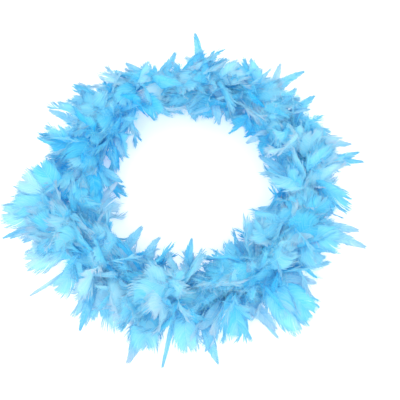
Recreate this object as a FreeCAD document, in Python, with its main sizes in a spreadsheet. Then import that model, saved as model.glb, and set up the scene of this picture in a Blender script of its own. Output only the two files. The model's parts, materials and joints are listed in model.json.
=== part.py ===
import FreeCAD, Part
import math
import os

# Feather boa laid down as one open ring: a soft core cord that feathers are bound to with thread.
# The cord bends anywhere, so it is modelled as a chain of short links that turn about upright hinges
# on the cord's centre line. Millimetres, +Z up; the origin is on the floor in the ring's middle.
# Link 1 holds end A and link 12 holds end B; the two ends meet at the ring's -X side.

os.makedirs("parts", exist_ok=True)
doc = FreeCAD.newDocument("feather_boa")

# ---------------------------------------------------------------- driving dimensions (mm, degrees)
SIZES = {
    "ring_radius": 272.0,        # from the origin to each hinge
    "link_count": 12.0,
    "link_turn": 28.3,           # what each link turns the cord by
    "end_swing": 6.0,            # end A swings this far into the ring and end B this far out of it
    "half_width": 440.0,         # tips of the longest feathers along X
    "half_depth": 395.0,         # tips of the longest feathers along Y
    "core_height": 60.0,         # cord's centre line above the floor
    "core_radius": 2.5,
    "core_gap": 1.2,             # from a hinge to the end of a link's cord
    "thread_wall": 0.6,          # binding thread wound around the cord
    "whipping_wall": 1.4,        # thicker winding that locks each end
    "whipping_run": 9.0,
    "knot_radius": 6.0,
    "knot_length": 11.0,
    "knot_taper": 3.0,           # length of each tapered end of the knot
    "feathers_per_link": 30.0,
    "link_margin": 7.0,          # from a hinge to the nearest feather
    "feather_width": 38.0,
    "feather_thickness": 0.8,
    "quill_width": 2.2,
    "quill_grip": 0.4,           # depth of a quill in the winding or knot that holds it
    "reach_out": 94.0,           # from the cord's centre line to the feathers' tips
    "reach_in": 82.0,
    "reach_up": 68.0,
    "tuft_feathers": 5.0,
    "tuft_length": 34.0,
    "tuft_width": 12.0,
    "tuft_lean": 15.0,           # between a tuft feather and the cord's direction
}

sheet = doc.addObject("Spreadsheet::Sheet", "Sizes")
for row, (alias, value) in enumerate(SIZES.items(), start=1):
    sheet.set(f"A{row}", alias)
    sheet.set(f"B{row}", str(value))
    sheet.setAlias(f"B{row}", alias)
doc.recompute()


def size(alias):
    return float(sheet.get(alias))


LINK_COUNT = int(size("link_count"))
LINK_TURN = math.radians(size("link_turn"))
END_SWING = math.radians(size("end_swing"))
LINK_RUN = 2 * size("ring_radius") * math.sin(LINK_TURN / 2)
LINK_RUN_FORMULA = "2 * Sizes.ring_radius * sin(Sizes.link_turn / 2)"
UP = FreeCAD.Vector(0, 0, 1)
GOLDEN_TURN = math.radians(137.5)   # each feather's turn around the cord from the one before
LINK_STEP = 7                       # turns that each link's feathers are ahead of the link's before
LENGTH_SHARES = (0.86, 0.14)        # mean and swing of a feather's length, as shares of its reach
LENGTH_STEP = 2.4                   # how far the swing goes on from one feather to the next
ENVELOPE_POWER = 2.5                # the boa's section is rounder than a box and fuller than an ellipse
UNDERSIDE = -0.55                   # sine of the angle from which a feather counts as under the cord
FLOOR_SHARE = 1.05                  # feathers under the cord would reach this share of its height
WIDEST_SHARE = 0.55                 # a feather is widest at this share of its length
WIDTH_LIMIT = 0.55                  # a short feather is no wider than this share of its length
LONG_WIDTH_SHARE = 0.6              # how wide the long loose feathers are, beside the others
TUFT_START = 0.25                   # the tuft's first feather, in steps around the knot

# Long loose feathers that stick out of the ring: link number, index in the link and the tip's place
# along one axis. They are the farthest points of the boa on each side.
LONG_FEATHERS = {
    (4, 12): ("y", size("half_depth")),
    (7, 9): ("x", size("half_width")),
    (10, 1): ("y", -size("half_depth")),
    (12, 26): ("x", -size("half_width")),
}


# ---------------------------------------------------------------- the cord's centre line
def direction(angle):
    return FreeCAD.Vector(math.cos(angle), math.sin(angle), 0)


def ring_hinges():
    """Corners of the chain, from end A clockwise to end B, at the cord's height."""
    open_angle = 2 * math.pi - LINK_COUNT * LINK_TURN
    start_angle = math.pi - open_angle / 2
    corners = []
    for index in range(LINK_COUNT + 1):
        corner = direction(start_angle - index * LINK_TURN) * size("ring_radius")
        corner.z = size("core_height")
        corners.append(corner)
    for end, hinge in ((0, 1), (LINK_COUNT, LINK_COUNT - 1)):
        swing = FreeCAD.Rotation(UP, math.degrees(END_SWING))
        corners[end] = corners[hinge] + swing.multVec(corners[end] - corners[hinge])
    return corners


CORNERS = ring_hinges()


def link_direction(link):
    return (CORNERS[link] - CORNERS[link - 1]).normalize()


def turn_at(corner):
    """Angle between the two links that meet at a corner; none at the boa's ends."""
    if corner in (0, LINK_COUNT):
        return 0.0
    return link_direction(corner).getAngle(link_direction(corner + 1))


def along_link(link, distance):
    """Placement with its Z axis along the link, at a distance from the link's first corner."""
    point = CORNERS[link - 1] + link_direction(link) * distance
    return FreeCAD.Placement(point, FreeCAD.Rotation(UP, link_direction(link)))


# ---------------------------------------------------------------- one feather
def feather_blade(length, width, thickness):
    """A thin leaf: quill end at the origin, tip on +X, width along Y and thickness along Z."""
    root = size("quill_width") / 2
    side_points = (
        FreeCAD.Vector(0, root, 0),
        FreeCAD.Vector(WIDEST_SHARE * length, width / 2, 0),
        FreeCAD.Vector(length, 0, 0),
        FreeCAD.Vector(WIDEST_SHARE * length, -width / 2, 0),
        FreeCAD.Vector(0, -root, 0),
    )
    root_top, top, tip, bottom, root_bottom = side_points
    outline = Part.Wire([
        Part.Arc(root_top, top, tip).toShape(),
        Part.Arc(tip, bottom, root_bottom).toShape(),
        Part.LineSegment(root_bottom, root_top).toShape(),
    ])
    blade = Part.Face(outline).extrude(FreeCAD.Vector(0, 0, thickness))
    blade.translate(FreeCAD.Vector(0, 0, -thickness / 2))
    return blade


def placed_blade(start, pointing, face_normal, length, width):
    """A feather from its quill end, the way it points and the normal of its flat side."""
    across = face_normal.cross(pointing)
    turn = FreeCAD.Rotation(pointing, across, face_normal, "XYZ")
    blade = feather_blade(length, width, size("feather_thickness"))
    blade.Placement = FreeCAD.Placement(start, turn).multiply(blade.Placement)
    return blade


# ---------------------------------------------------------------- the feathers of one link
def envelope_reach(angle):
    """Reach at an angle around the cord: 0 points out of the ring, a quarter turn points up."""
    sideways = size("reach_out") if math.cos(angle) > 0 else size("reach_in")
    across = (abs(math.cos(angle)) / sideways) ** ENVELOPE_POWER
    upward = (abs(math.sin(angle)) / size("reach_up")) ** ENVELOPE_POWER
    return (across + upward) ** (-1 / ENVELOPE_POWER)


def feather_reach(link, index, angle):
    """From the cord's centre line to the tip. Feathers under the cord all reach the floor."""
    mean_share, share_swing = LENGTH_SHARES
    share = mean_share + share_swing * math.cos(LENGTH_STEP * index + link)
    reach = envelope_reach(angle) * share
    if math.sin(angle) < UNDERSIDE:
        reach = max(reach, FLOOR_SHARE * size("core_height") / -math.sin(angle))
    return reach


def stop_at_floor(blade):
    """A feather that would pass below the floor is pressed flat there."""
    bounds = blade.BoundBox
    if bounds.ZMin >= 0:
        return blade
    corner = FreeCAD.Vector(bounds.XMin, bounds.YMin, 0)
    above_floor = Part.makeBox(bounds.XLength, bounds.YLength, bounds.ZMax, corner)
    return blade.common(above_floor).Solids[0]


def link_feathers(link):
    """Feathers around one link, in a close stack of flat blades square to the cord.

    Blades on the ring's outer side are parallel, so that the link can turn until the cord is straight.
    Those on the inner side fan together, between the planes that halve the turns at the link's ends.
    """
    count = int(size("feathers_per_link"))
    spacing = (LINK_RUN - 2 * size("link_margin")) / (count - 1)
    first_tilt, last_tilt = -turn_at(link - 1) / 2, turn_at(link) / 2
    grip_radius = size("core_radius") + size("thread_wall") - size("quill_grip")
    blades = []
    for index in range(count):
        station = size("link_margin") + index * spacing
        share = station / LINK_RUN
        angle = (index + LINK_STEP * link) * GOLDEN_TURN
        long_tip = LONG_FEATHERS.get((link, index))
        if long_tip:
            angle = 0.0
        fan = math.sqrt(max(0.0, -math.cos(angle))) * (first_tilt * (1 - share) + last_tilt * share)
        normal = FreeCAD.Rotation(UP, -math.degrees(fan)).multVec(link_direction(link))
        outward = UP.cross(normal)
        pointing = outward * math.cos(angle) + UP * math.sin(angle)
        centre = along_link(link, station).Base
        width = size("feather_width")
        if long_tip:
            axis, tip_place = long_tip
            reach = (tip_place - getattr(centre, axis)) / getattr(pointing, axis)
            width *= LONG_WIDTH_SHARE
        else:
            reach = feather_reach(link, index, angle)
        start = centre + pointing * grip_radius
        blade_length = reach - grip_radius
        width = min(width, WIDTH_LIMIT * blade_length)
        blade = placed_blade(start, pointing, normal, blade_length, width)
        blades.append(stop_at_floor(blade))
    return blades


def tuft_feathers(knot, outward_end):
    """Feathers that carry the boa on past an end knot, as the narrow cup of a half-open flower."""
    count = int(size("tuft_feathers"))
    lean = math.radians(size("tuft_lean"))
    ring = size("knot_radius") - size("quill_grip")
    blades = []
    for index in range(count):
        around = 2 * math.pi * (index + TUFT_START) / count
        side = knot.multVec(FreeCAD.Vector(math.cos(around), math.sin(around), 0)) - knot.Base
        pointing = outward_end * math.cos(lean) + side * math.sin(lean)
        normal = side * math.cos(lean) - outward_end * math.sin(lean)
        start = knot.Base + outward_end * (size("knot_length") / 2) + side * ring
        blades.append(placed_blade(start, pointing, normal, size("tuft_length"), size("tuft_width")))
    return blades


# ---------------------------------------------------------------- sub-parts
def add_cylinder(name, radius, run):
    cylinder = doc.addObject("Part::Cylinder", name)
    cylinder.setExpression("Radius", radius)
    cylinder.setExpression("Height", run)
    return cylinder


def add_winding(name, wall, run):
    """Thread wound close around the cord: a sleeve that touches the cord all the way."""
    winding = doc.addObject("Part::Cut", name)
    winding.Base = add_cylinder(name + "_outside", f"Sizes.core_radius + {wall}", run)
    winding.Tool = add_cylinder(name + "_inside", "Sizes.core_radius", run)
    return winding


def add_blades(name, blades):
    feature = doc.addObject("Part::Feature", name)
    feature.Shape = Part.makeCompound(blades)
    feature.Placement = FreeCAD.Placement()
    return feature


def add_knot(name):
    """The cord's own end knot: a barrel that tapers to the cord at both ends, turned around its axis."""
    body = doc.addObject("PartDesign::Body", name)
    plane = [item for item in body.Origin.OriginFeatures if item.Role == "XZ_Plane"][0]
    sketch = body.newObject("Sketcher::SketchObject", name + "_outline")
    sketch.AttachmentSupport = [(plane, "")]
    sketch.MapMode = "FlatFace"
    length, neck, belly = size("knot_length"), size("core_radius"), size("knot_radius")
    taper = size("knot_taper")
    outline = [(0, 0), (neck, 0), (belly, taper), (belly, length - taper), (neck, length), (0, length)]
    points = [FreeCAD.Vector(across, along, 0) for across, along in outline]
    for start, end in zip(points, points[1:] + points[:1]):
        sketch.addGeometry(Part.LineSegment(start, end))
    knot = body.newObject("PartDesign::Revolution", name + "_turned")
    knot.Profile = sketch
    knot.ReferenceAxis = (sketch, ["V_Axis"])
    knot.Angle = 360
    return body


sub_parts = []


def finish_sub_part(feature, label, placement=None):
    feature.Label = label
    if placement is not None:
        feature.Placement = placement
    sub_parts.append(feature)


def build_link(link):
    """One link's cord, the thread wound on it and its feathers. The end links' windings are shorter."""
    cord = add_cylinder(f"Cord{link}", "Sizes.core_radius", f"{LINK_RUN_FORMULA} - 2 * Sizes.core_gap")
    finish_sub_part(cord, f"core_cord_{link:02d}", along_link(link, size("core_gap")))
    is_end = link in (1, LINK_COUNT)
    run = f"{LINK_RUN_FORMULA} - 2 * Sizes.core_gap" + (" - Sizes.whipping_run" if is_end else "")
    start = size("core_gap") + (size("whipping_run") if link == 1 else 0)
    thread = add_winding(f"Thread{link}", "Sizes.thread_wall", run)
    finish_sub_part(thread, f"binding_thread_{link:02d}", along_link(link, start))
    feathers = add_blades(f"Feathers{link}", link_feathers(link))
    finish_sub_part(feathers, f"feathers_{link:02d}")


def build_end(letter, link, whipping_start, knot_start, outward_end):
    """What closes one end of the boa: a whipping, the cord's knot and a tuft of feathers."""
    whipping = add_winding(f"Whipping{letter}", "Sizes.whipping_wall", "Sizes.whipping_run")
    finish_sub_part(whipping, f"end_whipping_{letter.lower()}", along_link(link, whipping_start))
    knot_base = along_link(link, knot_start).Base
    knot_place = FreeCAD.Placement(knot_base, FreeCAD.Rotation(UP, outward_end))
    finish_sub_part(add_knot(f"Knot{letter}"), f"end_knot_{letter.lower()}", knot_place)
    tuft = add_blades(f"Tuft{letter}", tuft_feathers(knot_place, outward_end))
    finish_sub_part(tuft, f"end_tuft_{letter.lower()}")


for number in range(1, LINK_COUNT + 1):
    build_link(number)
end_of_run = LINK_RUN - size("core_gap")
build_end("A", 1, size("core_gap"), size("core_gap"), -link_direction(1))
build_end("B", LINK_COUNT, end_of_run - size("whipping_run"), end_of_run, link_direction(LINK_COUNT))

# ---------------------------------------------------------------- recompute, check and write
doc.recompute()
for item in doc.Objects:
    if "Invalid" in item.State or "Error" in item.State:
        raise RuntimeError(f"{item.Label} did not recompute: {item.State}")
for feature in sub_parts:
    if feature.Shape.isNull() or not feature.Shape.isValid():
        raise RuntimeError(f"{feature.Label} has no valid shape")
    feature.Shape.exportStep(f"parts/{feature.Label}.step")
print(f"{len(sub_parts)} sub-parts, cord length {LINK_COUNT * LINK_RUN:.0f} mm")
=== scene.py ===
import json
import math
from collections import namedtuple
import bpy
import numpy as np
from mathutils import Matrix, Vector


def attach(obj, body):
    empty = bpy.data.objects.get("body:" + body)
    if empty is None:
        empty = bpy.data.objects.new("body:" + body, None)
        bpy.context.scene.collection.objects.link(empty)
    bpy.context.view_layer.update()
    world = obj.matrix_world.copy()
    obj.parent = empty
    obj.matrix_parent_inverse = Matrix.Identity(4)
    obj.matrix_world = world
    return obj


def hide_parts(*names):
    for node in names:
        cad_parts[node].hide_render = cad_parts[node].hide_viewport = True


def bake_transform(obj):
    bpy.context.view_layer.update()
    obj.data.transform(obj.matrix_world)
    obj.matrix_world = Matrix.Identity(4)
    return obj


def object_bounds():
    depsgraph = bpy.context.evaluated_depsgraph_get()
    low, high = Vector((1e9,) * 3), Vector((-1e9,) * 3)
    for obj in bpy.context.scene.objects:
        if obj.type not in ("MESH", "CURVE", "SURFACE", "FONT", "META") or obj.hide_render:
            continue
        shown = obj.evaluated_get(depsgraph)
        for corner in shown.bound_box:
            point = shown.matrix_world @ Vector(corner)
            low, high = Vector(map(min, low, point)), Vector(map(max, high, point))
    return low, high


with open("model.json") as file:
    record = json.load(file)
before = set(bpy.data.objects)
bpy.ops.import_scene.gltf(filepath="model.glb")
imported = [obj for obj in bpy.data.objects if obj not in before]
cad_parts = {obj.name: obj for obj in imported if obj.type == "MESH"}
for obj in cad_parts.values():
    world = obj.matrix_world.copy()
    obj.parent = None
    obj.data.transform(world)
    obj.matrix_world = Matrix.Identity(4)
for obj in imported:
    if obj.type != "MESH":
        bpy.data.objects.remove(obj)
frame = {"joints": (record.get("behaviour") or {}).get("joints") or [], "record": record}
cad_low, cad_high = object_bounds()

# Feather boa: a twisted cord with thread wound on it and several hundred feathers around it.
# Metres. The cord follows one smooth curve that rounds each of the frame's hinges. Every piece spans one
# hinge, apart from those on the half link at each end.
RANDOM_SEED = 21
MM = 0.001
UP = np.array((0.0, 0.0, 1.0))


# ------------------------------------------------------------------ camera, light and floor
CAMERA_TARGET = Vector((0.023, -0.045, 0.05))
CAMERA_ELEVATION = math.radians(69)
CAMERA_DISTANCE = 1.0
CAMERA_LENS = 39.0              # millimetres
FLOOR_SIZE = 12
FLOOR_COLOUR = (0.93, 0.94, 0.95, 1)
FLOOR_GLOW = 0.36               # lifts the pale floor to nearly white
SKY_COLOUR = (0.93, 0.97, 1.0, 1)
SKY_LIGHT = 1.34
KEY_PLACE, KEY_SIDE, KEY_WATTS = (-0.35, -1.3, 1.3), 1.0, 6
VIEW_GAMMA = 1.2


def add_camera():
    """Looks down at the ring from the front, from a metre away."""
    data = bpy.data.cameras.new("Camera")
    data.lens = CAMERA_LENS
    camera = bpy.data.objects.new("Camera", data)
    bpy.context.scene.collection.objects.link(camera)
    back = Vector((0, -math.cos(CAMERA_ELEVATION), math.sin(CAMERA_ELEVATION)))
    camera.location = CAMERA_TARGET + back * CAMERA_DISTANCE
    camera.rotation_euler = (math.pi / 2 - CAMERA_ELEVATION, 0, 0)
    bpy.context.scene.camera = camera


def add_area_light(name, place, side, watts):
    data = bpy.data.lights.new(name, "AREA")
    data.size, data.energy = side, watts
    lamp = bpy.data.objects.new(name, data)
    bpy.context.scene.collection.objects.link(lamp)
    lamp.location = place
    lamp.rotation_euler = (-Vector(place)).to_track_quat("-Z", "Y").to_euler()


def add_stage():
    """A pale floor under a pale sky, with one large soft light in front."""
    bpy.ops.mesh.primitive_plane_add(size=FLOOR_SIZE)
    floor = bpy.context.object
    floor.name = "floor"
    material = bpy.data.materials.new("floor")
    material.use_nodes = True
    shader = material.node_tree.nodes["Principled BSDF"]
    shader.inputs["Base Color"].default_value = FLOOR_COLOUR
    shader.inputs["Roughness"].default_value = 0.9
    shader.inputs["Emission Color"].default_value = (1, 1, 1, 1)
    shader.inputs["Emission Strength"].default_value = FLOOR_GLOW
    floor.data.materials.append(material)
    world = bpy.data.worlds.new("World")
    world.use_nodes = True
    background = world.node_tree.nodes["Background"]
    background.inputs["Color"].default_value = SKY_COLOUR
    background.inputs["Strength"].default_value = SKY_LIGHT
    bpy.context.scene.world = world
    add_area_light("key_light", KEY_PLACE, KEY_SIDE, KEY_WATTS)
    bpy.context.scene.view_settings.view_transform = "Standard"
    bpy.context.scene.view_settings.gamma = VIEW_GAMMA
    bpy.context.scene.cycles.diffuse_bounces = 10


add_camera()
add_stage()


# ------------------------------------------------------------------ materials
FEATHER_SHEEN, FIBRE_SHEEN = 0.05, 0.3
LOW_SPECULAR = 0.12
STREAK_SCALE = (320.0, 1.6, 1.0)        # fine from barb to barb, long along each barb
STREAK_LOW, STREAK_HIGH = 0.3, 0.7      # noise that gives the palest and the deepest streaks
FIBRE_ROUGHNESS = 0.85
FIBRE_LOW, FIBRE_HIGH = 0.35, 0.65      # noise that gives the darkest and the lightest fibres


def new_material(name, roughness, sheen):
    material = bpy.data.materials.new(name)
    material.use_nodes = True
    shader = material.node_tree.nodes["Principled BSDF"]
    shader.inputs["Roughness"].default_value = roughness
    shader.inputs["Sheen Weight"].default_value = sheen
    shader.inputs["Specular IOR Level"].default_value = LOW_SPECULAR
    return material, material.node_tree, shader


def link(tree, source, output, target, field):
    tree.links.new(source.outputs[output], target.inputs[field])


def add_node(tree, kind, **settings):
    node = tree.nodes.new(kind)
    for field, value in settings.items():
        if field in node.inputs:
            node.inputs[field].default_value = value
        else:
            setattr(node, field, value)
    return node


def feather_material(name, roughness, through, streak_depth):
    """Dyed feather: each feather's tint, its dye with painted shade and painted highlight mixed in, deeper
    in streaks along its barbs; light shines through.
    """
    material, tree, shader = new_material(name, roughness, FEATHER_SHEEN)
    tint = add_node(tree, "ShaderNodeVertexColor", layer_name="tint")
    place = add_node(tree, "ShaderNodeUVMap", uv_map="vane")
    stretch = add_node(tree, "ShaderNodeMapping", Scale=STREAK_SCALE)
    streaks = add_node(tree, "ShaderNodeTexNoise", Scale=1.0, Detail=3.0, Roughness=0.65)
    link(tree, place, "UV", stretch, "Vector")
    link(tree, stretch, "Vector", streaks, "Vector")
    depth = add_node(tree, "ShaderNodeMapRange")
    limits = (
        ("From Min", STREAK_LOW), ("From Max", STREAK_HIGH),
        ("To Min", 1 - streak_depth), ("To Max", 1 + streak_depth),
    )
    for field, value in limits:
        depth.inputs[field].default_value = value
    link(tree, streaks, "Fac", depth, "Value")
    colour = add_node(tree, "ShaderNodeGamma")
    link(tree, tint, "Color", colour, "Color")
    link(tree, depth, "Result", colour, "Gamma")
    link(tree, colour, "Color", shader, "Base Color")
    bump = add_node(tree, "ShaderNodeBump", Strength=0.35, Distance=0.0004)
    link(tree, streaks, "Fac", bump, "Height")
    link(tree, bump, "Normal", shader, "Normal")
    glow = add_node(tree, "ShaderNodeBsdfTranslucent")
    link(tree, colour, "Color", glow, "Color")
    both = add_node(tree, "ShaderNodeMixShader", Fac=through)
    tree.links.new(shader.outputs["BSDF"], both.inputs[1])
    tree.links.new(glow.outputs["BSDF"], both.inputs[2])
    link(tree, both, "Shader", tree.nodes["Material Output"], "Surface")
    return material


def fibre_material(name, light, dark, scale):
    """Spun and dyed cotton: fine mottled fibres."""
    material, tree, shader = new_material(name, FIBRE_ROUGHNESS, FIBRE_SHEEN)
    noise = add_node(tree, "ShaderNodeTexNoise", Scale=scale, Detail=4.0)
    place = add_node(tree, "ShaderNodeTexCoord")
    link(tree, place, "Object", noise, "Vector")
    ramp = add_node(tree, "ShaderNodeValToRGB")
    ramp.color_ramp.elements[0].position, ramp.color_ramp.elements[0].color = FIBRE_LOW, dark
    ramp.color_ramp.elements[1].position, ramp.color_ramp.elements[1].color = FIBRE_HIGH, light
    link(tree, noise, "Fac", ramp, "Fac")
    link(tree, ramp, "Color", shader, "Base Color")
    bump = add_node(tree, "ShaderNodeBump", Strength=0.5, Distance=0.0003)
    link(tree, noise, "Fac", bump, "Height")
    link(tree, bump, "Normal", shader, "Normal")
    return material


VANE = feather_material("feather_vane", roughness=0.6, through=0.34, streak_depth=0.25)
DOWN = feather_material("feather_down", roughness=0.9, through=0.36, streak_depth=0.10)
QUILL = feather_material("feather_quill", roughness=0.35, through=0.25, streak_depth=0.15)
CORD = fibre_material("dyed_cord", light=(0.22, 0.55, 0.85, 1), dark=(0.10, 0.36, 0.70, 1), scale=900)
THREAD = fibre_material("dyed_thread", light=(0.16, 0.48, 0.82, 1), dark=(0.08, 0.30, 0.64, 1), scale=1500)


# ------------------------------------------------------------------ the cord's curve
def corner_points():
    """The cord's ends and hinges, from end A to end B, as the frame gives them."""
    record = frame["record"]
    ends = {mount["name"]: mount["pos_m"] for mount in record["mounts"]}
    hinges = sorted(frame["joints"], key=lambda joint: joint["name"])
    middle = [joint["pos_m"] for joint in hinges]
    return [np.array(point) for point in [ends["end_a_tie"], *middle, ends["end_b_tie"]]]


CORNERS = corner_points()
SPAN_COUNT = len(CORNERS)       # each end's half link, and one span around every hinge
LINK_MIDDLES = [(a + b) / 2 for a, b in zip(CORNERS[:-1], CORNERS[1:])]
SPAN_ENDS = [CORNERS[0], *LINK_MIDDLES, CORNERS[-1]]


def cord_point(span, share):
    """Point and direction on the cord's centre line: a straight end, or a smooth bend at a hinge."""
    start, end = SPAN_ENDS[span], SPAN_ENDS[span + 1]
    if span in (0, SPAN_COUNT - 1):
        point, ahead = start + (end - start) * share, end - start
    else:
        hinge = CORNERS[span]
        point = (1 - share) ** 2 * start + 2 * share * (1 - share) * hinge + share ** 2 * end
        ahead = (1 - share) * (hinge - start) + share * (end - hinge)
    return point, ahead / np.linalg.norm(ahead)


def link_name(number):
    return f"link_{number:02d}"


def settle(piece, span, slot_name, *nodes):
    """Attaches a finished piece on an end's half link to that link, bakes any other piece in place, and
    hides the CAD nodes that it stands for.
    """
    if span == 0:
        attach(piece, link_name(1))
    elif span == SPAN_COUNT - 1:
        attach(piece, link_name(span))
    else:
        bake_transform(piece)
    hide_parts(*nodes)
    return piece


def span_links(span):
    """Numbers of the links that a span lies on."""
    return [number for number in (span, span + 1) if 1 <= number < SPAN_COUNT]


# ------------------------------------------------------------------ meshes
class MeshBuffer:
    """Gathers points, faces, materials, tints and vane coordinates for one piece."""

    def __init__(self, *materials):
        self.materials = materials
        self.points, self.faces, self.slots, self.tints, self.coordinates = [], [], [], [], []
        self.count = 0

    def add(self, points, faces, material, tints, coordinates):
        self.points.append(points)
        self.add_faces(faces + self.count, material)
        self.tints.append(tints)
        self.coordinates.append(coordinates)
        self.count += len(points)

    def add_faces(self, faces, material):
        self.faces.extend(faces.tolist())
        self.slots.extend([self.materials.index(material)] * len(faces))

    def build(self, name):
        mesh = bpy.data.meshes.new(name)
        mesh.from_pydata(np.concatenate(self.points), [], self.faces)
        for material in self.materials:
            mesh.materials.append(material)
        mesh.polygons.foreach_set("material_index", self.slots)
        tints = mesh.color_attributes.new("tint", "FLOAT_COLOR", "POINT")
        rgb = np.concatenate(self.tints)
        tints.data.foreach_set("color", np.column_stack((rgb, np.ones(len(rgb)))).ravel())
        loop_points = np.empty(len(mesh.loops), dtype=np.int32)
        mesh.loops.foreach_get("vertex_index", loop_points)
        layer = mesh.uv_layers.new(name="vane")
        layer.data.foreach_set("uv", np.concatenate(self.coordinates)[loop_points].ravel())
        smooth = [material is not VANE for material in self.materials]
        mesh.polygons.foreach_set("use_smooth", [smooth[slot] for slot in self.slots])
        piece = bpy.data.objects.new(name, mesh)
        bpy.context.scene.collection.objects.link(piece)
        return piece


def unit(vectors):
    return vectors / np.linalg.norm(vectors, axis=-1, keepdims=True)


def grid_faces(rows, columns, closed=False):
    """Quads between neighbouring rows of points; closed joins each row's last point to its first."""
    row = np.arange(rows - 1)[:, None] * columns
    column = np.arange(columns if closed else columns - 1)[None, :]
    after = (column + 1) % columns
    corners = (row + column, row + after, row + columns + after, row + columns + column)
    return np.stack(corners, axis=-1).reshape(-1, 4)


def tube(centres, radii, sides):
    """A round tube along a line of points, with its turning frame kept steady."""
    ahead = unit(np.gradient(centres, axis=0))
    side = np.cross(ahead, UP)
    side = np.where(np.linalg.norm(side, axis=1, keepdims=True) > 0.1, side, np.cross(ahead, (1.0, 0, 0)))
    side = unit(side)
    over = np.cross(side, ahead)
    turns = np.linspace(0, 2 * math.pi, sides, endpoint=False)
    ring = np.cos(turns)[None, :, None] * side[:, None] + np.sin(turns)[None, :, None] * over[:, None]
    points = centres[:, None] + ring * np.asarray(radii).reshape(-1, 1, 1)
    return points.reshape(-1, 3), grid_faces(len(centres), sides, closed=True)


# ------------------------------------------------------------------ one feather
SHAFT_STEPS = 16
BARB_SPACING = 1.25 * MM
BARB_CURVE = 0.9                # share of its angle that a barb loses as it curves towards the tip
BARB_REACH = 0.55               # half width of a vane against its longest barb's length
# Along the vane, from its base to its tip: barb length as a share of the longest, and its angle.
VANE_PLACES = (0.0, 0.12, 0.32, 0.6, 0.8, 0.93, 1.0)
BARB_ANGLES = (80, 72, 64, 58, 52, 42, 20)
ROUND_TIP = (0.55, 0.82, 1.0, 0.98, 0.70, 0.44, 0.30)
POINTED_TIP = (0.5, 0.85, 1.0, 0.84, 0.6, 0.42, 0.3)
NARROW_TIP = (0.45, 0.8, 1.0, 0.92, 0.78, 0.64, 0.6)
SKY = np.array((0.185, 0.768, 0.985))
RIM_PAINTED_SHADE = np.array((0.12, 0.30, 0.23))      # painted shade: how much darker a feather's rim is coloured than its middle
# Shares of a barb's length: where its points on the vane are, where it may part from its neighbours, and
# where its loose end starts to stray.
VANE_SHARES = (0.0, 0.27, 0.52, 0.76)
PARTING_START, STRAY_START = 0.25, 0.7
PARTING_POWER = 1.5             # the higher, the nearer to the edge barbs part
TIP_REACH = 0.26                # how much further than its length a barb's loose end may reach
STRAY, RISE = 0.14, 0.25        # how far loose ends stray in the vane and off it
CLUMP_MEAN = 13                 # barbs in a clump
FRINGE_WIDTH = 0.18             # half width of a loose end's middle, against its line's
BARB_OFFSET = 0.13 * MM         # barbs lie by turns this far over and under the middle of the vane
CAMBERS = (0.05, 0.35)          # how much a vane arches from side to side
RIPPLES = (8, 20)               # a vane's edge swells and shrinks through so many radians
PHASES = (0, 40)                # where its ripple and its streaks start
RAGGED_EDGE, RIPPLED_EDGE = 0.05, 0.04      # how far it strays from clump to clump, and with the ripple
CLUMP_DEPTH = 0.10              # how much the dye varies from clump to clump
BASE_PAINTED_SHADE, BASE_SHADE_RUN = 0.25, 0.4        # painted shade: how much deeper the vane is coloured at its base, near the cord, and how far up that goes
OUTER_PALING = 0.2              # how much paler it is towards the barbs' ends
EDGE_POWER = 5                  # the higher, the closer to the rim its painted shade keeps
BEND_START, BEND_GROWTH = 0.4, 1.2      # a shaft bends little at its base and more towards its tip
QUILL_THICKNESS, QUILL_TAPER = 0.9 * MM, 0.12
QUILL_DEPTH = 0.6               # how deeply a quill is dyed, against its vane
DOWN_LENGTH, DOWN_WIDTH = 30 * MM, 0.6 * MM
DOWN_TAPER = (1.0, 0.9, 0.7, 0.45, 0.12)
DOWN_LEANS = (30, 88)           # degrees between a down barb's start and the shaft
DOWN_RUNS = (0.45, 1.2)         # down barbs' lengths as shares of DOWN_LENGTH
DOWN_FLATNESS = 0.7             # how far down stands off a feather's face, against to its sides
DOWN_CURL = 0.36                # how far a down barb strays at each step
DOWN_DEPTH, DOWN_DEPTH_SPREAD = 0.95, 0.2       # how deeply it is dyed, against its feather


class Shaft:
    """A feather's curved shaft: points along it and the directions ahead, to its side and off its face."""

    def __init__(self, root, ahead, face, length, bend, sweep, twist):
        self.length = length
        step = length / SHAFT_STEPS
        points, directions = [], []
        point = np.array(root, float)
        for index in range(SHAFT_STEPS + 1):
            side = np.cross(face, ahead)
            points.append(point)
            directions.append((ahead, side, face))
            gain = (BEND_START + BEND_GROWTH * index / SHAFT_STEPS) / SHAFT_STEPS
            point = point + ahead * step
            turned = ahead - face * bend * gain + side * sweep * gain
            face = face + ahead * bend * gain + side * twist * gain
            ahead = unit(turned)
            face = unit(face - ahead * np.dot(face, ahead))
        self.points, self.directions = np.array(points), np.array(directions)

    def at(self, distance):
        """Points and directions at distances from the quill's end."""
        place = np.clip(np.asarray(distance) / self.length, 0, 1) * SHAFT_STEPS
        low = np.minimum(place.astype(int), SHAFT_STEPS - 1)
        share = (place - low)[:, None]
        points = self.points[low] * (1 - share) + self.points[low + 1] * share
        share = share[..., None]
        directions = self.directions[low] * (1 - share) + self.directions[low + 1] * share
        return points, directions


def barb_clumps(rng, count, mean):
    """Neighbouring barbs hold together in clumps; gives every barb line's number and its clump's."""
    lines, owner, first, clump = [], [], 0, 0
    while first < count:
        last = min(count, first + 2 + int(rng.exponential(mean)))
        lines.extend(range(first, last + 1))
        owner.extend([clump] * (last - first + 1))
        first, clump = last, clump + 1
    return np.array(lines), np.array(owner), clump


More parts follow.
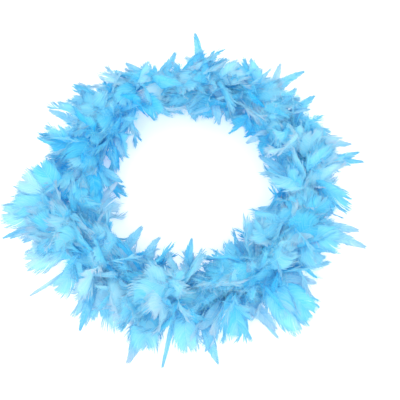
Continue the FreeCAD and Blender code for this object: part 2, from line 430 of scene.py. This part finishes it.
def add_vane(buffer, rng, shaft, start, half_width, lengths, looseness, tint):
    """Both sides of a feather's vane: barbs joined near the shaft, parting in clumps, loose at the edge."""
    run = shaft.length * (1 - start)
    count = max(8, int(run / BARB_SPACING))
    camber, phase, ripple = rng.uniform(*CAMBERS), rng.uniform(*PHASES), rng.uniform(*RIPPLES)
    for side_sign in (-1, 1):
        lines, owner, clumps = barb_clumps(rng, count, CLUMP_MEAN)
        number = len(lines)
        place = lines / count
        ragged = (1 + RAGGED_EDGE * rng.standard_normal(clumps))[owner]
        ragged = ragged + RIPPLED_EDGE * np.sin(place * ripple + phase)
        barb = half_width / BARB_REACH * np.interp(place, VANE_PLACES, lengths) * ragged
        angle = np.radians(np.interp(place, VANE_PLACES, BARB_ANGLES))[:, None]
        part = (looseness * rng.standard_normal(clumps))[owner, None]
        lift = (looseness * rng.standard_normal(clumps))[owner, None]
        tips = 1.0 + TIP_REACH * rng.random(number)
        shares = np.empty((number, 6))
        shares[:, :4] = VANE_SHARES
        shares[:, 4], shares[:, 5] = 0.5 * (VANE_SHARES[-1] + tips), tips
        curve = BARB_CURVE * angle
        turned = angle - curve * shares
        forward = (np.sin(angle) - np.sin(turned)) / curve
        across = (np.cos(turned) - np.cos(angle)) / curve
        loose = np.maximum(0, shares - PARTING_START) ** PARTING_POWER
        stray = STRAY * np.maximum(0, shares - STRAY_START) * rng.standard_normal((number, 1))
        rise = RISE * np.maximum(0, shares - STRAY_START) * rng.standard_normal((number, 1))
        forward = forward - np.sin(angle) * part * loose
        across = across + np.cos(angle) * part * loose + stray
        off = (lift * loose + rise - camber * across ** 2) * barb[:, None]
        off = off + BARB_OFFSET * np.where(lines % 2, 1, -1)[:, None]
        points, directions = shaft.at(shaft.length * (start + (1 - start) * place))
        ahead, side, face = (directions[:, None, index] for index in range(3))
        spread = (points[:, None] + ahead * (forward * barb[:, None])[..., None]
                  + side * (side_sign * across * barb[:, None])[..., None] + face * off[..., None])
        # Dye varies from clump to clump; painted shade then deepens the vane's base, near the cord.
        depth = (1 + CLUMP_DEPTH * rng.standard_normal(clumps))[owner]
        depth = depth + BASE_PAINTED_SHADE * np.maximum(0, 1 - place / BASE_SHADE_RUN)
        outer = np.minimum(1, shares)
        tints = tint ** (depth[:, None] * (1 - OUTER_PALING * outer ** 2))[..., None]
        # Painted shade darkens the rim: the barbs' loose ends and the vane's tip.
        tints = tints * (1 - RIM_PAINTED_SHADE * np.maximum(outer, place[:, None])[..., None] ** EDGE_POWER)
        coordinates = np.stack((np.broadcast_to((place * run + phase)[:, None], shares.shape),
                                side_sign * shares), axis=-1)
        index = np.arange(number - 1)[owner[:-1] == owner[1:]]
        near, far = index * 4, (index + 1) * 4
        sheet = [np.stack((near + c, far + c, far + c + 1, near + c + 1), axis=-1) for c in range(3)]
        flip = slice(None, None, -side_sign)
        buffer.add(spread[:, :4].reshape(-1, 3), np.concatenate(sheet)[:, flip], VANE,
                   tints[:, :4].reshape(-1, 3), coordinates[:, :4].reshape(-1, 2))
        add_fringe(buffer, index, spread, tints, coordinates, flip)


def add_fringe(buffer, index, spread, tints, coordinates, flip):
    """The loose end of each barb: as wide as its line at the vane, then narrowing to a point."""
    blocks = []
    for values in (spread, tints, coordinates):
        near, middle, tip = values[:, 3], values[:, 4], values[:, 5]
        centre = 0.5 * (middle[index] + middle[index + 1])
        half = FRINGE_WIDTH * (middle[index + 1] - middle[index])
        blocks.append(np.concatenate((near[index], near[index + 1], centre - half, centre + half,
                                      0.5 * (tip[index] + tip[index + 1]))))
    count = len(index)
    first = np.arange(count)
    quads = np.stack((first, first + count, first + 3 * count, first + 2 * count), axis=-1)[:, flip]
    tips = np.stack((first + 2 * count, first + 3 * count, first + 4 * count), axis=-1)[:, flip]
    start = buffer.count
    buffer.add(blocks[0], quads, VANE, blocks[1], blocks[2])
    buffer.add_faces(tips + start, VANE)


def add_down(buffer, rng, shaft, first, last, count, tint):
    """Soft loose barbs around a feather from first to last, each a fine curling ribbon."""
    steps = len(DOWN_TAPER) - 1
    points, directions = shaft.at(shaft.length * rng.uniform(first, last, count))
    ahead, side, face = directions[:, 0], directions[:, 1], directions[:, 2]
    around = rng.uniform(0, 2 * math.pi, count)
    lean = np.radians(rng.uniform(*DOWN_LEANS, count))[:, None]
    out = np.cos(around)[:, None] * side + DOWN_FLATNESS * np.sin(around)[:, None] * face
    heading = unit(np.cos(lean) * ahead + np.sin(lean) * unit(out))
    runs = DOWN_LENGTH * rng.uniform(*DOWN_RUNS, count) / steps
    width_way = unit(np.cross(heading, rng.standard_normal((count, 3))))
    rows = []
    for half_width in np.array(DOWN_TAPER) * 0.5 * DOWN_WIDTH:
        rows.append(np.stack((points - width_way * half_width, points + width_way * half_width), axis=1))
        heading = unit(heading + DOWN_CURL * rng.standard_normal((count, 3)))
        points = points + heading * runs[:, None]
    size = 2 * (steps + 1)
    faces = (grid_faces(steps + 1, 2)[None] + (np.arange(count) * size)[:, None, None]).reshape(-1, 4)
    depth = DOWN_DEPTH + DOWN_DEPTH_SPREAD * rng.standard_normal((count, 1))
    tints = np.repeat(tint[None] ** depth, size, axis=0)
    coordinates = np.repeat(rng.random((count, 2)), size, axis=0)
    buffer.add(np.stack(rows, axis=1).reshape(-1, 3), faces, DOWN, tints, coordinates)


def add_quill(buffer, shaft, tint):
    radii = np.linspace(QUILL_THICKNESS, QUILL_TAPER * QUILL_THICKNESS, SHAFT_STEPS + 1)
    points, faces = tube(shaft.points, radii, 4)
    buffer.add(points, faces, QUILL, np.tile(tint, (len(points), 1)), np.zeros((len(points), 2)))


USUAL_DEPTH, DEPTH_SPREAD = 0.92, 0.26
DEPTH_LIMITS = (0.5, 2.4)
SLIM_PAINTED_SHADE = np.array((0.90, 0.80, 0.88))        # painted shade: tapered and narrow feathers are coloured a duller blue


def feather_tint(rng, depth):
    """A feather's blue, spread about the given depth: how deeply it took the dye, and on the pale front
    petals a painted highlight.
    """
    return SKY ** np.clip(rng.normal(depth, DEPTH_SPREAD), *DEPTH_LIMITS)


Kind = namedtuple("Kind", "share lengths half_widths barb_lengths looseness down_count")

# Kinds of feather, with lengths and half widths in mm. The sizes of PETAL, a large smooth feather that only
# stands out from the rest, come from its group.
BROAD = Kind(0.38, (88, 121), (24, 38), ROUND_TIP, 0.05, 80)
TAPERED = Kind(0.12, (74, 112), (10, 18), POINTED_TIP, 0.07, 60)
NARROW = Kind(0.05, (80, 118), (4, 7), NARROW_TIP, 0.06, 18)
FLUFFY = Kind(0.45, (74, 108), (5, 9), ROUND_TIP, 0.16, 190)
KINDS = (BROAD, TAPERED, NARROW, FLUFFY)
PETAL = Kind(0, None, None, ROUND_TIP, 0.02, 70)
# Mean and spread, in degrees, of how a feather bends back, sweeps sideways and twists.
BEND, SWEEP, TWIST = (24, 34), (0, 42), (0, 30)
VANE_STARTS = (0.20, 0.32)      # where a vane starts, as a share of the feather's length
DOWN_START, DOWN_STRETCH = 0.04, 0.32       # where down starts, and how far past the vane's start it goes


def add_feather(buffer, rng, kind, root, ahead, face, length, half_width=None, depth=USUAL_DEPTH,
                bend=None, sweep=None, twist=None):
    """One whole feather: quill, vane and the down at its base, or all along a fluffy one."""
    half_width = rng.uniform(*kind.half_widths) * MM if half_width is None else half_width
    bend = math.radians(rng.normal(*BEND) if bend is None else bend)
    sweep = math.radians(rng.normal(*SWEEP) if sweep is None else sweep)
    twist = math.radians(rng.normal(*TWIST) if twist is None else twist)
    shaft = Shaft(root, ahead, face, length, bend, sweep, twist)
    # Tapered and narrow feathers get painted shade, a duller blue.
    tint = feather_tint(rng, depth) * (SLIM_PAINTED_SHADE if kind in (TAPERED, NARROW) else 1.0)
    start = rng.uniform(*VANE_STARTS)
    add_quill(buffer, shaft, tint ** QUILL_DEPTH)
    add_vane(buffer, rng, shaft, start, half_width, kind.barb_lengths, kind.looseness, tint)
    last = 1.0 if kind is FLUFFY else start + DOWN_STRETCH
    add_down(buffer, rng, shaft, DOWN_START, last, kind.down_count, tint)


# ------------------------------------------------------------------ feathers around the cord
FEATHERS_PER_SPAN = 70
ROOT_OFFSET = 3 * MM            # from the cord's centre line to a quill's end
LEANS = (16, 72)                # degrees between a feather's start and the cord
ROLL_SPREAD = 32                # degrees that a feather's face turns about its shaft
UNDER_SHARE = 0.08              # share of feathers under the cord
UNDER_EDGE = 0.6                # radians below level; feathers under the cord start further down than this
# Feathers' length as a share, by direction from the ring's middle in degrees: outside and inside the ring.
# The boa is thinnest behind, at 90 degrees, and fullest in front, to the left and right.
FULLNESS = (
    (-180, 0.95, 0.95), (-135, 1.0, 0.9), (-90, 0.9, 0.75), (-45, 1.0, 0.85), (0, 0.95, 0.95),
    (45, 0.9, 0.9), (90, 0.75, 0.8), (135, 0.95, 0.95), (180, 0.95, 0.95),
)
# Near the ends: what multiplies that share, and how deep a blue the feathers are, darker at end A and paler
# at end B.
END_FULLNESS = {0: (0.8, 1.0), SPAN_COUNT - 2: (1.0, 0.85), SPAN_COUNT - 1: (1.0, 0.5)}
SPAN_DEPTHS = {0: 1.25, 1: 1.05, SPAN_COUNT - 1: 0.75}
SWELL, SWELL_COUNT = 0.06, 7        # how much and how often the boa swells around the ring
BACKWARD_SHARES = {0: 0.75, 1: 0.65, SPAN_COUNT - 1: 0.9}   # feathers that lean towards end A
USUAL_BACKWARD_SHARE = 0.4
FLOOR_SOFT = 14 * MM
TOP_LIMIT = cad_high.z + 9 * MM
TOP_SOFT = 34 * MM
TOP_VARIATION = 30 * MM
FLOOR_GAPS = (1.5 * MM, 10 * MM)    # how far over the floor a feather's lowest points come to rest


def settle_height(rng, blocks):
    """Presses what would pass the floor gently flat on it, and what stands too high gently down."""
    rest = rng.uniform(*FLOOR_GAPS)
    top = TOP_LIMIT - TOP_VARIATION * rng.random() ** 2
    for points in blocks:
        press_between(points, rest, top)


def press_between(points, rest, top):
    height = points[:, 2]
    low = rest + FLOOR_SOFT * np.exp(np.minimum(0, height - rest - FLOOR_SOFT) / FLOOR_SOFT)
    height = np.where(height < rest + FLOOR_SOFT, low, height)
    knee = top - TOP_SOFT
    high = top - TOP_SOFT * np.exp(-np.maximum(0, height - knee) / TOP_SOFT)
    points[:, 2] = np.where(height > knee, high, height)


def feather_root(rng, span, share, elevation, lean_sign, lean):
    """Where a feather leaves the cord, which way it starts and which way its face looks."""
    centre, along = cord_point(span, share)
    outward = unit(np.cross(UP, along))
    off_cord = math.cos(elevation) * outward + math.sin(elevation) * UP
    ahead = math.cos(lean) * lean_sign * along + math.sin(lean) * off_cord
    face = math.cos(lean) * off_cord - math.sin(lean) * lean_sign * along
    roll = rng.normal(0, math.radians(ROLL_SPREAD))
    face = math.cos(roll) * face + math.sin(roll) * np.cross(ahead, face)
    return centre + off_cord * ROOT_OFFSET, ahead, face


def draw_elevation(rng):
    """Angle around the cord: few feathers stay under it, the rest are pushed out to its two sides."""
    if rng.random() < UNDER_SHARE:
        return rng.uniform(math.pi + UNDER_EDGE, 2 * math.pi - UNDER_EDGE)
    return rng.uniform(-UNDER_EDGE, math.pi + UNDER_EDGE)


def fullness(span, root, elevation):
    """How long feathers are where root is, as a share; it swells a little now and then along the ring."""
    angle = math.atan2(root[1], root[0])
    directions, outside, inside = zip(*FULLNESS)
    outward = 0.5 + 0.5 * math.cos(elevation)
    out = np.interp(math.degrees(angle), directions, outside)
    within = np.interp(math.degrees(angle), directions, inside)
    end_out, end_within = END_FULLNESS.get(span, (1.0, 1.0))
    swell = SWELL * math.sin(SWELL_COUNT * angle + 1)
    return outward * out * end_out + (1 - outward) * within * end_within + swell


def add_span_feathers(buffer, rng, span):
    count = FEATHERS_PER_SPAN if 0 < span < SPAN_COUNT - 1 else FEATHERS_PER_SPAN // 2
    shares = [kind.share for kind in KINDS]
    for index in range(count):
        share = (index + rng.random()) / count
        lean_sign = -1 if rng.random() < BACKWARD_SHARES.get(span, USUAL_BACKWARD_SHARE) else 1
        lean = math.radians(rng.uniform(*LEANS))
        elevation = draw_elevation(rng)
        root, ahead, face = feather_root(rng, span, share, elevation, lean_sign, lean)
        block = len(buffer.points)
        kind = KINDS[rng.choice(len(KINDS), p=shares)]
        length = rng.uniform(*kind.lengths) * MM * fullness(span, root, elevation)
        add_feather(buffer, rng, kind, root, ahead, face, length, depth=SPAN_DEPTHS.get(span, USUAL_DEPTH))
        settle_height(rng, buffer.points[block:])


ALL_SPANS = range(SPAN_COUNT)
PALE_SPANS = range(8, SPAN_COUNT)
WHOLE_SPAN = (0, 1)
# Groups of feathers that stand out: their spans and the stretch of each that they leave, how many on each,
# where they point and how far that varies (degrees; 0 is outward from the ring, 90 towards end B and 180
# inward), their lengths, their tips' heights over the cord and half widths (mm), kind, and how deep a blue
# they are.
LOOSE_OUTSIDE = (ALL_SPANS, WHOLE_SPAN, 2, 0, 28, (115, 160), (0, 20), (10, 14), TAPERED, (0.70, 0.85))
LOOSE_INSIDE = (ALL_SPANS, WHOLE_SPAN, 1, 180, 30, (90, 130), (5, 25), (9, 12), TAPERED, (0.70, 0.85))
THIN_OUTSIDE = (PALE_SPANS, WHOLE_SPAN, 1, 10, 25, (125, 160), (-10, 10), (5, 7), NARROW, (0.70, 0.80))
# The large pale petals on the front spans are made paler as a painted highlight, where the light falls
# most.
LARGE_PETALS_PAINTED_HIGHLIGHT = (PALE_SPANS, WHOLE_SPAN, 3, 15, 35, (95, 125), (0, 40), (22, 34), PETAL, (0.45, 0.65))
TUFT_A = ((0,), (0.05, 0.35), 7, -130, 10, (110, 150), (40, 60), (16, 22), PETAL, (1.7, 2.3))
TUFT_B = ((SPAN_COUNT - 1,), (0.65, 0.95), 5, 50, 30, (70, 100), (20, 50), (22, 28), PETAL, (0.45, 0.65))
STANDING_OUT = (LOOSE_OUTSIDE, LOOSE_INSIDE, THIN_OUTSIDE, LARGE_PETALS_PAINTED_HIGHLIGHT, TUFT_A, TUFT_B)
STANDING_BEND, STANDING_TWIST, STANDING_SWEEP_SPREAD = 14, 10, 20      # degrees
STANDING_RISE = 0.1             # how much further up such a feather starts than it reaches


def aim(reach, sweep):
    """A feather's first direction and face, turned back by half its sweep: its tip ends near reach."""
    ahead = unit(reach)
    face = unit(UP - ahead * ahead[2])
    turn = math.radians(-0.5 * sweep)
    ahead = unit(ahead * math.cos(turn) + np.cross(face, ahead) * math.sin(turn) + STANDING_RISE * UP)
    return ahead, unit(face - ahead * np.dot(ahead, face))


def add_standing_out(buffer, rng, span):
    """The feathers of a span that stand out from the rest."""
    for spans, stretch, count, towards, spread, lengths, rises, half_widths, kind, depths in STANDING_OUT:
        for _ in range(count if span in spans else 0):
            centre, along = cord_point(span, rng.uniform(*stretch))
            turn = math.radians(rng.normal(towards, spread))
            flat = math.cos(turn) * unit(np.cross(UP, along)) + math.sin(turn) * along
            reach = (rng.uniform(*lengths) * flat + rng.uniform(*rises) * UP) * MM
            sweep = rng.normal(0, STANDING_SWEEP_SPREAD)
            ahead, face = aim(reach, sweep)
            block = len(buffer.points)
            half_width, depth = rng.uniform(*half_widths) * MM, rng.uniform(*depths)
            add_feather(buffer, rng, kind, centre + ROOT_OFFSET * ahead, ahead, face, np.linalg.norm(reach),
                        half_width, depth, STANDING_BEND, sweep, STANDING_TWIST)
            settle_height(rng, buffer.points[block:])


def make_feathers():
    for span in range(SPAN_COUNT):
        rng = np.random.default_rng(RANDOM_SEED + span)
        buffer = MeshBuffer(VANE, DOWN, QUILL)
        add_span_feathers(buffer, rng, span)
        add_standing_out(buffer, rng, span)
        piece = buffer.build(f"plumes_{span:02d}")
        nodes = [f"feathers_{number:02d}" for number in span_links(span)]
        if span == 0:
            nodes.append("end_tuft_a")
        if span == SPAN_COUNT - 1:
            nodes.append("end_tuft_b")
        settle(piece, span, "feathers", *nodes)


# ------------------------------------------------------------------ cord, thread, whippings and knots
# Strands, thread and whippings are tubes of their own radius, wound at their place, which is how far they
# are from the cord's middle.
STRAND_COUNT, STRAND_TURNS = 3, 10          # turns along a whole span
STRAND_RADIUS, STRAND_PLACE = 1.3 * MM, 1.35 * MM
STRAND_STEPS, STRAND_SIDES = 12, 8          # steps in each turn, and sides around the tube
THREAD_TURNS = 48
THREAD_RADIUS, THREAD_PLACE = 0.35 * MM, 3.0 * MM
THREAD_STEPS, THREAD_SIDES = 9, 5
WHIPPING_TURNS = 11
WHIPPING_RADIUS, WHIPPING_PLACE = 0.5 * MM, 3.7 * MM
WHIPPING_STEPS, WHIPPING_SIDES = 14, 6
WHIPPING_A, WHIPPING_B = (0.02, 0.15), (0.85, 0.98)     # the stretch of its span that each whipping is on
KNOT_RADIUS, KNOT_WIDTH, KNOT_RUN, KNOT_OFFSET = 1.9 * MM, 1.25 * MM, 1.9 * MM, 5.5 * MM
KNOT_STEPS = 60


def helix_on_cord(span, turns, phase, radius, steps_per_turn, first=0.0, last=1.0):
    """Points on a helix around the cord's centre line along part of a span."""
    shares = np.linspace(first, last, max(8, int(turns * steps_per_turn)))
    points = []
    for share in shares:
        centre, along = cord_point(span, share)
        outward = unit(np.cross(UP, along))
        turn = phase + 2 * math.pi * turns * (share - first) / (last - first)
        points.append(centre + radius * (math.cos(turn) * outward + math.sin(turn) * UP))
    return np.array(points)


def add_strand(buffer, material, centres, radius, sides):
    points, faces = tube(centres, np.full(len(centres), radius), sides)
    buffer.add(points, faces, material, np.ones((len(points), 3)), np.zeros((len(points), 2)))


def make_cord_and_thread():
    for span in range(SPAN_COUNT):
        part = 2 if span in (0, SPAN_COUNT - 1) else 1      # the spans at the ends are half as long
        cord = MeshBuffer(CORD)
        for strand in range(STRAND_COUNT):
            phase = 2 * math.pi * strand / STRAND_COUNT
            centres = helix_on_cord(span, STRAND_TURNS // part, phase, STRAND_PLACE, STRAND_STEPS)
            add_strand(cord, CORD, centres, STRAND_RADIUS, STRAND_SIDES)
        piece = cord.build(f"twisted_cord_{span:02d}")
        settle(piece, span, "cord", *[f"core_cord_{number:02d}" for number in span_links(span)])
        thread = MeshBuffer(THREAD)
        centres = helix_on_cord(span, THREAD_TURNS // part, 0, THREAD_PLACE, THREAD_STEPS)
        add_strand(thread, THREAD, centres, THREAD_RADIUS, THREAD_SIDES)
        piece = thread.build(f"wound_thread_{span:02d}")
        settle(piece, span, "thread", *[f"binding_thread_{number:02d}" for number in span_links(span)])


def make_end(letter, span, stretch, knot_point, outward):
    """A whipping of tight thread, and the cord's end tied in a round knot."""
    whipping = MeshBuffer(THREAD)
    centres = helix_on_cord(span, WHIPPING_TURNS, 0, WHIPPING_PLACE, WHIPPING_STEPS, *stretch)
    add_strand(whipping, THREAD, centres, WHIPPING_RADIUS, WHIPPING_SIDES)
    settle(whipping.build(f"tight_whipping_{letter}"), span, "thread", f"end_whipping_{letter}")
    side = unit(np.cross(UP, outward))
    turn = np.linspace(0, 2 * math.pi, KNOT_STEPS)
    loops = (
        (np.sin(turn) + 2 * np.sin(2 * turn))[:, None] * side * KNOT_WIDTH
        + (np.cos(turn) - 2 * np.cos(2 * turn))[:, None] * UP * KNOT_WIDTH
        - np.sin(3 * turn)[:, None] * outward * KNOT_RUN
    )
    knot = MeshBuffer(CORD)
    add_strand(knot, CORD, knot_point + outward * KNOT_OFFSET + loops, KNOT_RADIUS, STRAND_SIDES)
    settle(knot.build(f"tied_knot_{letter}"), span, "cord", f"end_knot_{letter}")


make_feathers()
make_cord_and_thread()
make_end("a", 0, WHIPPING_A, CORNERS[0], unit(CORNERS[0] - CORNERS[1]))
make_end("b", SPAN_COUNT - 1, WHIPPING_B, CORNERS[-1], unit(CORNERS[-1] - CORNERS[-2]))
